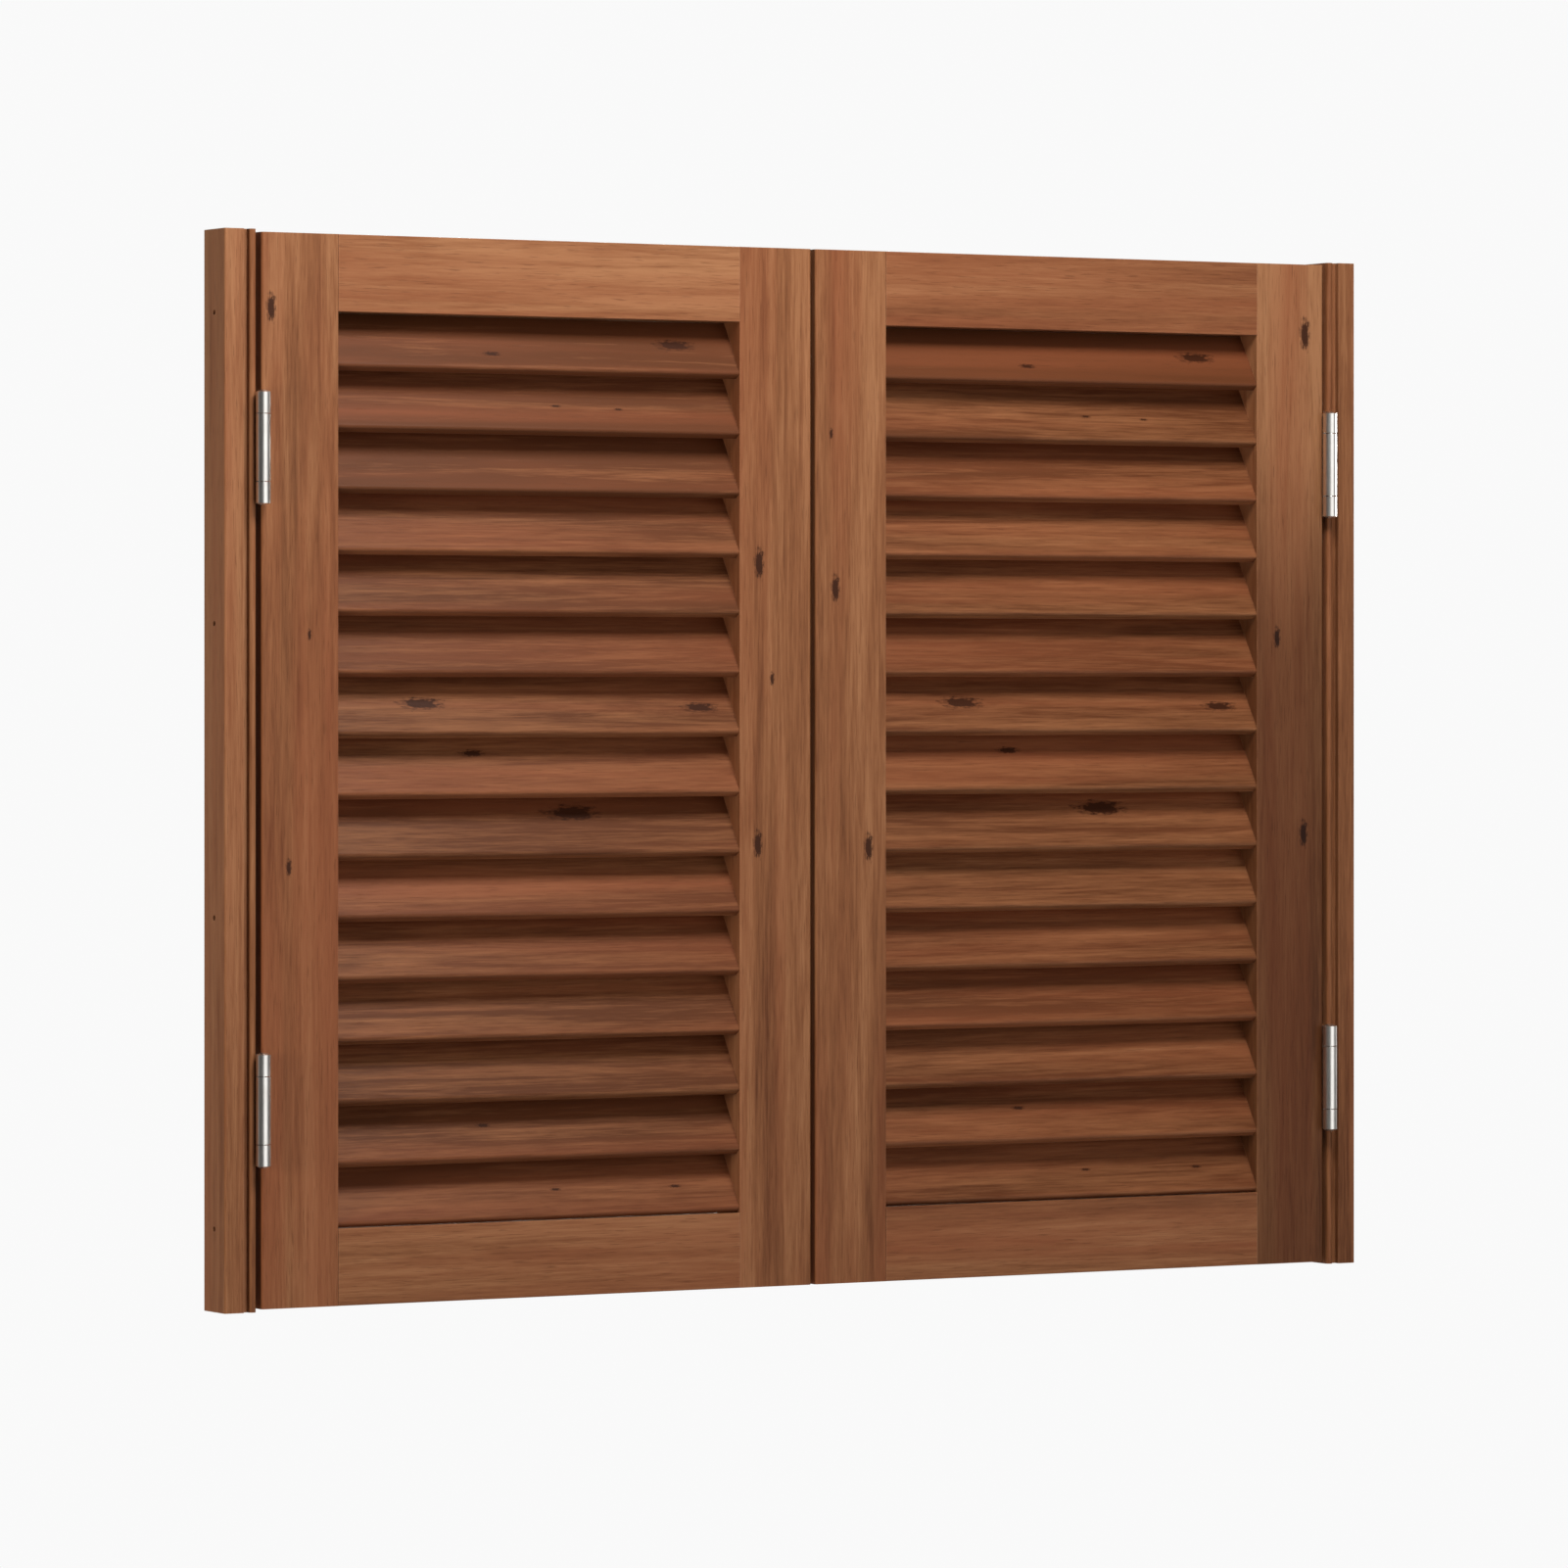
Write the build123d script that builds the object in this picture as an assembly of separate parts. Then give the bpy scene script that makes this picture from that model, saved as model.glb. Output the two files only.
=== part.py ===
from build123d import *
import math
import os

# A pair of louvred swing doors on double-action spring hinges, with their two side jambs.
# Millimetres. X runs across the doorway, Y from front to back and Z up.
# The origin is the middle of the doorway, at mid thickness, level with the feet of the jambs.

# Leaf
leaf_height = 970.0
leaf_width = 572.0
leaf_thickness = 44.0
stile_width = 77.0
rail_height = 70.0
outer_edge_radius = 2.5
inner_edge_radius = 0.8
meeting_gap = 4.6
jamb_gap = 5.0
reveal_below = 2.5
reveal_above = 2.5

# Joint between rail and stile
tenon_length = 50.0
tenon_thickness = 14.0
tenon_shoulder = 11.0
tenon_fit = 0.15
tenon_end_gap = 0.3

# Slats
slat_thickness = 11.0
slat_angle = 58.0
slat_edge_radius = 3.0
slat_setback = 1.25
slat_pitch_wanted = 55.5
lowest_slat_rise = 28.4
highest_slat_drop = 23.8
slat_rail_gap = 0.4
housing_depth = 8.0
housing_fit = 0.15
housing_end_gap = 0.3

# Jamb
jamb_width = 32.0
jamb_thickness = 44.0
bead_width = 7.0
groove_width = 6.0
groove_depth = 6.0
jamb_corner_radius = 2.0
wall_hole_radius = 2.5
wall_hole_head_radius = 5.0
wall_hole_end = 75.0
wall_hole_spacing = 265.0

# Hinges
upper_hinge_drop = 194.5
lower_hinge_rise = 179.5
barrel_radius = 6.75
barrel_bore = 5.3
barrel_offset = 8.0
barrel_height = 100.0
end_knuckle_height = 19.0
knuckle_gap = 0.8
collar_height = 4.0
plate_thickness = 1.3
flange_depth = 38.0
plate_corner_radius = 3.0
pin_radius = 2.0
pin_running_fit = 0.05
pin_head_rise = 2.2
pin_head_inset = 0.25

# Springs
spring_wire = 1.25
spring_coil_radius = 3.7
spring_turns = 14
spring_seat_gap = 0.3
spring_leg_fit = 0.2
spring_leg_height = 2.0

# Screws of the hinge flanges
screw_length = 25.0
screw_shank_radius = 1.75
screw_head_radius = 3.4
screw_tip_length = 5.0
screw_fit = 0.1
screw_head_drop = 0.1
screw_end_inset = 11.0
screw_stagger = 14.0
recess_span = 3.6
recess_width = 0.8
recess_depth = 1.2
screws_per_flange = 4

# Places worked out from the sizes above
leaf_foot = reveal_below
leaf_top = leaf_foot + leaf_height
jamb_height = leaf_top + reveal_above
opening_foot = leaf_foot + rail_height
opening_top = leaf_top - rail_height
opening_width = leaf_width - 2 * stile_width
leaf_inner_x = meeting_gap / 2
leaf_outer_x = leaf_inner_x + leaf_width
jamb_inner_x = leaf_outer_x + jamb_gap
jamb_outer_x = jamb_inner_x + jamb_width
hinge_x = (leaf_outer_x + jamb_inner_x) / 2
barrel_y = leaf_thickness / 2 + barrel_offset
hinge_heights = {"upper": leaf_top - upper_hinge_drop, "lower": leaf_foot + lower_hinge_rise}
sides = {"left": -1, "right": 1}
overshoot = 1.0

# Slat section: as wide as the leaf's thickness lets it be at its angle
slope = math.radians(slat_angle)
slat_run = leaf_thickness - 2 * slat_setback
slat_flat = slat_thickness - 2 * slat_edge_radius
slat_straight = (slat_run - 2 * slat_edge_radius - slat_flat * math.sin(slope)) / math.cos(slope)
slat_width = slat_straight + 2 * slat_edge_radius
slat_length = opening_width + 2 * (housing_depth - housing_end_gap)
lowest_slat_z = opening_foot + lowest_slat_rise
highest_slat_z = opening_top - highest_slat_drop
slat_steps = max(1, round((highest_slat_z - lowest_slat_z) / slat_pitch_wanted))
slat_pitch = (highest_slat_z - lowest_slat_z) / slat_steps
slat_heights = [lowest_slat_z + slat_pitch * i for i in range(slat_steps + 1)]

# Hinge spans along the barrel
middle_tube_height = barrel_height - 2 * (end_knuckle_height + knuckle_gap)
end_knuckle_z = (barrel_height - end_knuckle_height) / 2
neck_reach = (barrel_radius + barrel_bore) / 2


def box_between(low, high):
    """A box between two corners."""
    size = [b - a for a, b in zip(low, high)]
    centre = [(a + b) / 2 for a, b in zip(low, high)]
    return Pos(*centre) * Box(*size)


def mirrored(shape):
    """The same shape on the other side of the doorway."""
    return mirror(shape, about=Plane.YZ)


def on_side(shape, side):
    """Shapes are drawn on the right, and mirrored for the left."""
    return shape if side == "right" else mirrored(shape)


# Slats
def slat_section(height, fit):
    """The rounded section of one slat, its front edge low, grown by a fit all round."""
    outline = RectangleRounded(slat_width + 2 * fit, slat_thickness + 2 * fit, slat_edge_radius + fit)
    return Plane.YZ * Pos(0, height) * Rot(0, 0, slat_angle) * outline


def slat_bar(height, x_start, x_end, fit, rail_gap):
    """A slat's bar between two places, planed level where it would meet a rail."""
    bar = Pos(x_start, 0, 0) * extrude(slat_section(height, fit), x_end - x_start)
    low = (x_start - overshoot, -leaf_thickness, opening_foot + rail_gap)
    high = (x_end + overshoot, leaf_thickness, opening_top - rail_gap)
    return bar & box_between(low, high)


def slat(height):
    """One slat of the right leaf, with both ends in their housings."""
    start = leaf_inner_x + stile_width - housing_depth + housing_end_gap
    return slat_bar(height, start, start + slat_length, 0, slat_rail_gap)


def slat_housings(inner):
    """What the ends of the slats of the right leaf cut out of one of its stiles."""
    near = leaf_inner_x + stile_width
    far = near + opening_width
    if inner:
        start, end = near - housing_depth, near + overshoot
    else:
        start, end = far - overshoot, far + housing_depth
    return [slat_bar(z, start, end, housing_fit, 0) for z in slat_heights]


# Rails and stiles
def rail(foot):
    """One rail of the right leaf, with a tenon at each end."""
    start = leaf_inner_x + stile_width
    body = box_between((start, -leaf_thickness / 2, foot),
                       (start + opening_width, leaf_thickness / 2, foot + rail_height))
    body = fillet(body.edges().filter_by(Axis.X), inner_edge_radius)
    tongue = tenon_length - tenon_end_gap
    tenon = box_between((start - tongue, -tenon_thickness / 2, foot + tenon_shoulder),
                        (start + opening_width + tongue, tenon_thickness / 2,
                         foot + rail_height - tenon_shoulder))
    return body + tenon


def mortise(x_open, x_blind, foot):
    """The pocket for one tenon, open where the rail's shoulder meets the stile."""
    half = tenon_thickness / 2 + tenon_fit
    low = (min(x_open, x_blind), -half, foot + tenon_shoulder - tenon_fit)
    high = (max(x_open, x_blind), half, foot + rail_height - tenon_shoulder + tenon_fit)
    return box_between(low, high)


def edges_at(body, x):
    """The upright edges of a body that stand at one place across the doorway."""
    return body.edges().filter_by(Axis.Z).filter_by_position(Axis.X, x - 0.01, x + 0.01)


def stile(inner):
    """One stile of the right leaf: the meeting stile, or the hinge stile on the outside."""
    start = leaf_inner_x if inner else leaf_outer_x - stile_width
    end = start + stile_width
    body = box_between((start, -leaf_thickness / 2, leaf_foot), (end, leaf_thickness / 2, leaf_top))
    outer_x, opening_x = (start, end) if inner else (end, start)
    body = fillet(edges_at(body, outer_x), outer_edge_radius)
    body = fillet(edges_at(body, opening_x), inner_edge_radius)
    into = -tenon_length if inner else tenon_length
    for foot in (leaf_foot, leaf_top - rail_height):
        body -= mortise(opening_x, opening_x + into, foot)
    return cut_all(body, slat_housings(inner))


# Jambs
def jamb():
    """The right jamb: a strip with a bead beside the leaf and a groove, on both faces."""
    half = jamb_thickness / 2
    outline = Pos((jamb_inner_x + jamb_outer_x) / 2, 0) * Rectangle(jamb_width, jamb_thickness)
    outer = outline.vertices().sort_by(Axis.X)[-2:]
    outline = fillet(outer, jamb_corner_radius)
    bead_radius = bead_width / 2
    for y in (-half, half):
        inward = 1 if y < 0 else -1
        strip = Pos(jamb_inner_x + bead_radius, y + inward * bead_radius / 2)
        outline -= strip * Rectangle(bead_width, bead_radius)
        outline += Pos(jamb_inner_x + bead_radius, y + inward * bead_radius) * Circle(bead_radius)
        groove = Pos(jamb_inner_x + bead_width + groove_width / 2, y + inward * groove_depth / 2)
        outline -= groove * Rectangle(groove_width, groove_depth)
    strip = extrude(outline, jamb_height)
    for z in wall_hole_heights():
        strip -= wall_hole(z)
    return strip


def wall_hole_heights():
    """Two pairs of holes, each pair centred on the jamb's middle."""
    outer = jamb_height / 2 - wall_hole_end
    return [jamb_height / 2 + s * h for h in (outer, wall_hole_spacing / 2) for s in (-1, 1)]


def wall_hole(z):
    """A countersunk hole through the right jamb, its mouth towards the leaf."""
    sink = wall_hole_head_radius - wall_hole_radius
    hole = Pos(jamb_width / 2, 0, 0) * Rot(0, 90, 0) * Cylinder(wall_hole_radius, jamb_width + 2 * overshoot)
    cone = Pos(sink / 2, 0, 0) * Rot(0, 90, 0) * Cone(wall_hole_head_radius, wall_hole_radius, sink)
    return Pos(jamb_inner_x, 0, z) * (hole + cone)


# Hinge plates, drawn about the middle of the gap with the jamb towards -X and the first barrel at -Y
def plate(x_start, y_start, y_end):
    """A plate with rounded corners, standing across the gap."""
    outline = Pos((y_start + y_end) / 2, 0) * RectangleRounded(y_end - y_start, barrel_height,
                                                             plate_corner_radius)
    return Pos(x_start, 0, 0) * extrude(Plane.YZ * outline, plate_thickness)


def neck(x_start, y_start, y_end, z_centre, height):
    """The bent strip that runs from a plate into a barrel."""
    return box_between((x_start, y_start, z_centre - height / 2),
                       (x_start + plate_thickness, y_end, z_centre + height / 2))


def end_knuckles():
    """The two short knuckles at the ends of the first barrel, bored for the pin."""
    solid = Part()
    for z in (-end_knuckle_z, end_knuckle_z):
        solid += Pos(0, -barrel_y, z) * Cylinder(barrel_radius, end_knuckle_height)
    return solid


def pin_bore(fit):
    return Pos(0, -barrel_y, 0) * Cylinder(pin_radius + fit, barrel_height + 2 * overshoot)


def jamb_flange():
    """The flange on the jamb, with the end knuckles of the first barrel."""
    half = leaf_thickness / 2
    wood_face = -jamb_gap / 2
    body = plate(wood_face, -half, -half + flange_depth)
    for z in (-end_knuckle_z, end_knuckle_z):
        body += neck(wood_face, -barrel_y + neck_reach, -half + plate_corner_radius, z, end_knuckle_height)
    body += end_knuckles()
    body -= pin_bore(pin_running_fit)
    for hole in flange_screws(screw_fit):
        body -= hole
    return body


def middle_tube():
    """The long tube of the first barrel: it houses the spring between two collars."""
    tube = Cylinder(barrel_radius, middle_tube_height)
    tube -= Cylinder(barrel_bore, middle_tube_height - 2 * collar_height)
    leg = Cylinder(spring_wire / math.sqrt(2) + spring_leg_fit, 2 * (spring_leg_height + spring_leg_fit))
    tube -= Pos(spring_coil_radius, 0, -middle_tube_height / 2 + collar_height) * leg
    return Pos(0, -barrel_y, 0) * tube


def link():
    """The link between the two barrels, with the middle tube of each."""
    half = leaf_thickness / 2
    body = plate(-plate_thickness / 2, -half, half)
    body += neck(-plate_thickness / 2, -barrel_y + neck_reach, barrel_y - neck_reach, 0, middle_tube_height)
    body += middle_tube()
    body += Rot(0, 0, 180) * middle_tube()
    body -= pin_bore(pin_running_fit)
    body -= Rot(0, 0, 180) * pin_bore(pin_running_fit)
    return body


def hinge_pin():
    """The pin of the first barrel, with a domed head at both ends."""
    head_radius = barrel_radius - pin_head_inset
    sphere_radius = (head_radius**2 + pin_head_rise**2) / (2 * pin_head_rise)
    shaft = Cylinder(pin_radius, barrel_height)
    face = barrel_height / 2
    cap = Pos(0, 0, face + pin_head_rise - sphere_radius) * Sphere(sphere_radius)
    slab = Pos(0, 0, face + pin_head_rise / 2) * Cylinder(head_radius, pin_head_rise)
    dome = cap & slab
    pin = shaft + dome + Rot(180, 0, 0) * dome
    return Pos(0, -barrel_y, 0) * pin


def torsion_spring():
    """The spring of the first barrel: a coil of square wire with one leg down into the lower collar."""
    room = middle_tube_height - 2 * collar_height
    rise = room - 2 * spring_seat_gap - spring_wire
    path = Helix(rise / spring_turns, rise, spring_coil_radius)
    section = Plane(origin=path @ 0, x_dir=(1, 0, 0), z_dir=path % 0) * Rectangle(spring_wire, spring_wire)
    coil = Pos(0, 0, -rise / 2) * sweep(section, path, is_frenet=True)
    leg_height = spring_leg_height + spring_seat_gap + spring_wire / 2
    leg = Pos(spring_coil_radius, 0, -rise / 2 - leg_height / 2) * Box(spring_wire, spring_wire, leg_height)
    return Pos(0, -barrel_y, 0) * (coil + leg)


def screw(fit):
    """A countersunk wood screw along +X, its head's face at the origin. A fit grows it into its hole."""
    head = screw_head_radius - screw_shank_radius
    reach = screw_length - screw_tip_length
    points = [(0, 0), (0, screw_head_radius + fit), (head, screw_shank_radius + fit),
              (reach, screw_shank_radius + fit), (screw_length + fit, 0)]
    body = revolve(make_face(Polyline(points, close=True)), Axis.X)
    if fit:
        return body
    cut = box_between((-overshoot, -recess_span / 2, -recess_width / 2),
                      (recess_depth, recess_span / 2, recess_width / 2))
    return body - cut - Rot(90, 0, 0) * cut


def flange_screws(fit):
    """The screws of the jamb flange, staggered down its height, or the holes they sit in."""
    face = -jamb_gap / 2 + plate_thickness
    first = -barrel_height / 2 + screw_end_inset
    step = -2 * first / (screws_per_flange - 1)
    middle = -leaf_thickness / 2 + flange_depth / 2
    found = []
    for i in range(screws_per_flange):
        y = middle + (screw_stagger / 2 if i % 2 else -screw_stagger / 2)
        place = Pos(face - (0 if fit else screw_head_drop), y, first + step * i)
        found.append(place * Rot(0, 0, 180) * screw(fit))
    return found


def hinge_place(side, level):
    """Where a hinge stands. The one on the right is the same unit, turned half round."""
    turn = 0 if side == "left" else 180
    return Pos(sides[side] * hinge_x, 0, hinge_heights[level]) * Rot(0, 0, turn)


def leaf_half(shape):
    """The half of the hinge on the leaf is the half on the jamb, turned about the middle of the gap."""
    return Rot(0, 0, 180) * shape


def cut_all(body, tools):
    """A body less each of the tools."""
    for tool in tools:
        body -= tool
    return body


def single(shape):
    """The one solid of a finished piece."""
    return shape.solids()[0]


def save(node, shapes):
    """Write one piece, or a group of like pieces, as parts/NODE.step."""
    shape = shapes[0] if len(shapes) == 1 else Compound(children=list(shapes))
    shape.label = node
    export_step(shape, "parts/" + node + ".step")


def build_leaves():
    """The wooden pieces of both leaves. Those of the left are the mirror image of the right."""
    pieces = {"meeting_stile": stile(inner=True), "bottom_rail": rail(leaf_foot),
              "top_rail": rail(leaf_top - rail_height)}
    for number, height in enumerate(slat_heights, start=1):
        pieces[f"slat_{number:02d}"] = slat(height)
    hinge_stile = stile(inner=False)
    holes = [leaf_half(hole) for hole in flange_screws(screw_fit)]
    for side in sides:
        for name, shape in pieces.items():
            save(side + "_leaf_" + name, [single(on_side(shape, side))])
        bored = on_side(hinge_stile, side)
        for level in hinge_heights:
            bored = cut_all(bored, [hinge_place(side, level) * hole for hole in holes])
        save(side + "_leaf_hinge_stile", [single(bored)])


def build_jambs():
    """The two jambs, bored for the hinge screws."""
    plain = jamb()
    holes = flange_screws(screw_fit)
    for side in sides:
        bored = on_side(plain, side)
        for level in hinge_heights:
            bored = cut_all(bored, [hinge_place(side, level) * hole for hole in holes])
        save(side + "_jamb", [single(bored)])


def build_hinges():
    """The four hinges. What stays on a jamb is kept apart from what moves with a leaf."""
    flange, bridge, pin, spring = jamb_flange(), link(), hinge_pin(), torsion_spring()
    screws = flange_screws(0)
    jamb_pins, jamb_screws = [], []
    for side in sides:
        springs, leaf_pins, leaf_screws = [], [], []
        for level in hinge_heights:
            place = hinge_place(side, level)
            name = side + "_" + level + "_hinge_"
            save(name + "jamb_flange", [single(place * flange)])
            save(name + "link", [single(place * bridge)])
            save(name + "leaf_flange", [single(place * leaf_half(flange))])
            springs += [single(place * spring), single(place * leaf_half(spring))]
            jamb_pins.append(single(place * pin))
            leaf_pins.append(single(place * leaf_half(pin)))
            jamb_screws += [single(place * s) for s in screws]
            leaf_screws += [single(place * leaf_half(s)) for s in screws]
        save(side + "_hinge_springs", springs)
        save(side + "_leaf_hinge_pins", leaf_pins)
        save(side + "_leaf_hinge_screws", leaf_screws)
    save("jamb_hinge_pins", jamb_pins)
    save("jamb_hinge_screws", jamb_screws)


os.makedirs("parts", exist_ok=True)
build_jambs()
build_leaves()
build_hinges()
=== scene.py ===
"""Looks of a pair of louvred swing doors: stained hardwood, satin hinges and a plain studio."""

import math

import bmesh
import bpy
from bpy.props import FloatProperty, FloatVectorProperty, IntProperty, PointerProperty
from bpy.types import Operator, Panel, PropertyGroup
from mathutils import Matrix, Vector


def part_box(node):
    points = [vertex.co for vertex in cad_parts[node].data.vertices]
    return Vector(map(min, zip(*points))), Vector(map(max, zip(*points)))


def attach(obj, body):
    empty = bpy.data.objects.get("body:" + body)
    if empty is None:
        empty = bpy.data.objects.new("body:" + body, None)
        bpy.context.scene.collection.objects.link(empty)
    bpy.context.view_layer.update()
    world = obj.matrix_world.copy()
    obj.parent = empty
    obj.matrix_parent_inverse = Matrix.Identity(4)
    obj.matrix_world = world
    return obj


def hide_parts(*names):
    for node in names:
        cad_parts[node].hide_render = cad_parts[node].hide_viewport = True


bl_info = {
    "name": "Louvred Swing Doors",
    "version": (1, 0, 0),
    "blender": (4, 5, 0),
    "location": "View3D > Sidebar > Swing Doors",
    "description": "Finishes the wood and metal of a pair of louvred swing doors and sets up "
                   "their studio",
    "category": "Object",
}

MM = 0.001
LEAVES = ("left", "right")
LEVELS = ("lower", "upper")
SLATS_PER_LEAF = 15
SCREWS_PER_FLANGE = 4
SCREW_FACE = 1.3 * MM
SCREW_MIDDLE = -3 * MM
SCREW_STAGGER = 7 * MM
SCREW_INSET = 11 * MM
SCREW_TURN = 0.7

# The hinge screw's shape: shares of its length, the foot of its thread and the taper of its recess.
SMOOTH_SHARE, THREAD_SHARE = 0.36, 0.84
THREAD_RAMP = 0.4 * MM
THREAD_START = 0.6 * MM
RIDGE_SHARE = 0.28
RECESS_TAPER = 0.72
STEPS_PER_TURN = 12

# The wood's noises, from broad bands to fine fibres, and how much each of them counts.
BAND_SCALE, BAND_WEIGHT = 16, 0.42
FIGURE_SCALE, FIGURE_WEIGHT = 55, 0.32
FIBRE_SCALE, FIBRE_WEIGHT = 420, 0.26
PATCH_SCALE = 22
PORE_SCALE = 900
WOOD_SPECULAR = 0.14
WOOD_ROUGH_SPREAD = 0.16
METAL_ROUGH_SPREAD, METAL_ROUGH_SHIFT = 0.20, 0.08
EDGE_GAIN = 4.0
# Tint multiplied into the wood where painted shade darkens a stile.
PAINTED_SHADE_TINT = (0.30, 0.23, 0.17)

# Lighter or darker boards. The slats are set darker than the frame as painted shade, which dims
# the faces of the slats and deepens the shade between them. They also vary from one to the next,
# and darken towards the top.
JAMB_TONES = {"left": 0.04, "right": -0.02}
SLAT_TONES_AND_PAINTED_SHADE = {"left": -0.085, "right": -0.06}
SLAT_TONE_SPREAD = 0.012
SLAT_TONE_FALL = 0.020
SLAT_FALL_FROM = 10
DARKER_SLATS = (1, 3)
DARKER_BY = 0.03

# A knot's size against its half length, how ragged it is and how far its soft edge reaches.
KNOT_LENGTH, KNOT_HEIGHT = 1.3, 0.34
KNOT_DEPTH = 60 * MM
KNOT_WOBBLE = 2.8
KNOT_REACH = 1.45
FLECK_WIDTH = 0.35

# Name, place, target and size of each light, in metres.
KEY_LIGHT = ("soft_key", (-0.22, -1.35, 2.25), (-0.14, 0, 0.75), (1.0, 0.8))
LOW_LIGHT = ("low_fill", (-2.3, -0.50, 0.40), (0.3, 0, 0.4), (0.35, 0.5))
BACK_LIGHT = ("back_key", (1.1, 2.6, 1.5), (0.1, 0, 0.5), (1.0, 1.0))
RIGHT_LIGHT = ("right_side", (3.2, 0.35, 0.9), (0.6, 0, 0.5), (0.8, 0.8))
KEY_COLOUR = (1.0, 0.97, 0.92)
LOW_COLOUR = (1.0, 0.95, 0.88)
WARM_WHITE = (1.0, 0.97, 0.93)
GLOW_COLOUR = (1.0, 0.985, 0.96, 1)
BACKDROP_STRENGTH = 0.95
SPECKLE_COLOUR = (0.45, 0.45, 0.45)
GLOW_DIRECTION = (0.17, -0.985, 0.0)

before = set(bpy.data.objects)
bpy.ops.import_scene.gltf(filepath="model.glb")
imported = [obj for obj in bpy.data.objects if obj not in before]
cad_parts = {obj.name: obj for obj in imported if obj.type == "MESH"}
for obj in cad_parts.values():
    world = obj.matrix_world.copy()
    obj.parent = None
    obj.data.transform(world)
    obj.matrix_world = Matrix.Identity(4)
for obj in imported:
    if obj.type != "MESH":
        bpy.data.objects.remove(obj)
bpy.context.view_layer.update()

# Places of dark knots: slat number, place across the leaf from 0 to 1, rise over the slat's middle,
# and half length along the grain, both in metres.
SLAT_KNOTS = (
    (15, 0.39, -0.008, 0.0050),
    (15, 0.84, 0.004, 0.0110),
    (14, 0.55, -0.002, 0.0030),
    (14, 0.70, -0.004, 0.0026),
    (9, 0.23, 0.002, 0.0125),
    (9, 0.90, -0.002, 0.0100),
    (8, 0.36, 0.012, 0.0070),
    (7, 0.60, 0.012, 0.0160),
    (2, 0.38, 0.004, 0.0040),
    (1, 0.55, -0.002, 0.0030),
    (1, 0.84, -0.003, 0.0034),
)
# Flecks in the stiles: place across the stile from 0 to 1, height in metres and half length.
STILE_FLECKS = {
    "left_leaf_meeting_stile": ((0.27, 0.678, 0.011), (0.25, 0.416, 0.010), (0.45, 0.570, 0.005)),
    "right_leaf_meeting_stile": ((0.28, 0.655, 0.010), (0.75, 0.412, 0.010), (0.22, 0.800, 0.004)),
    "left_leaf_hinge_stile": ((0.12, 0.905, 0.010), (0.35, 0.400, 0.006), (0.62, 0.610, 0.004)),
    "right_leaf_hinge_stile": ((0.72, 0.905, 0.012), (0.70, 0.420, 0.010), (0.30, 0.610, 0.008)),
}


class WoodFinish(PropertyGroup):
    """Colours and grain of the stained hardwood."""

    light: FloatVectorProperty(
        name="Light Grain", description="Colour of the pale streaks", subtype="COLOR", size=3,
        min=0, max=1, default=(0.325, 0.148, 0.068))
    middle: FloatVectorProperty(
        name="Middle Grain", description="Colour of most of the wood", subtype="COLOR", size=3,
        min=0, max=1, default=(0.215, 0.083, 0.034))
    deep: FloatVectorProperty(
        name="Deep Grain", description="Colour of the dark streaks", subtype="COLOR", size=3,
        min=0, max=1, default=(0.098, 0.031, 0.011))
    red: FloatVectorProperty(
        name="Red Cast", description="Colour of the patches where the stain is redder", subtype="COLOR",
        size=3, min=0, max=1, default=(0.235, 0.068, 0.028))
    knot: FloatVectorProperty(
        name="Knot", description="Colour of knots and flecks", subtype="COLOR", size=3,
        min=0, max=1, default=(0.034, 0.009, 0.003))
    # Painted highlight: the colour that lightens the edges of the wood.
    painted_edge_highlight: FloatVectorProperty(
        name="Painted Edge Highlight", description="Colour of the painted highlight along the edges",
        subtype="COLOR", size=3, min=0, max=1, default=(0.420, 0.210, 0.115))
    edge_width: FloatProperty(
        name="Painted Highlight Width", description="How far the painted highlight reaches from an edge",
        subtype="DISTANCE", min=0.0002, max=0.01, default=0.0016)
    stretch: FloatProperty(
        name="Grain Stretch", description="How many times longer the grain is than wide",
        subtype="FACTOR", min=2, max=100, default=22)
    roughness: FloatProperty(
        name="Roughness", description="Roughness of the lacquer", subtype="FACTOR", min=0, max=1,
        default=0.46)
    coat: FloatProperty(
        name="Lacquer", description="Weight of the clear lacquer over the stain", subtype="FACTOR",
        min=0, max=1, default=0.02)
    pore_depth: FloatProperty(
        name="Pore Depth", description="How deep the pores are", subtype="DISTANCE", min=0, max=0.002,
        default=0.00025)


class MetalFinish(PropertyGroup):
    """Colours and gloss of the hinges, screws and springs."""

    nickel: FloatVectorProperty(
        name="Satin Hinge Metal", description="Colour of the hinges", subtype="COLOR", size=3,
        min=0, max=1, default=(0.90, 0.89, 0.87))
    nickel_dull: FloatVectorProperty(
        name="Dulled Hinge Metal", description="Colour where the hinges are dulled", subtype="COLOR",
        size=3, min=0, max=1, default=(0.66, 0.63, 0.59))
    zinc: FloatVectorProperty(
        name="Screw Metal", description="Colour of the screws", subtype="COLOR", size=3, min=0, max=1,
        default=(0.66, 0.65, 0.61))
    spring: FloatVectorProperty(
        name="Spring Steel", description="Colour of the oiled springs", subtype="COLOR", size=3,
        min=0, max=1, default=(0.16, 0.15, 0.145))
    roughness: FloatProperty(
        name="Satin Roughness", description="Roughness of the hinges", subtype="FACTOR", min=0, max=1,
        default=0.32)


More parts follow.
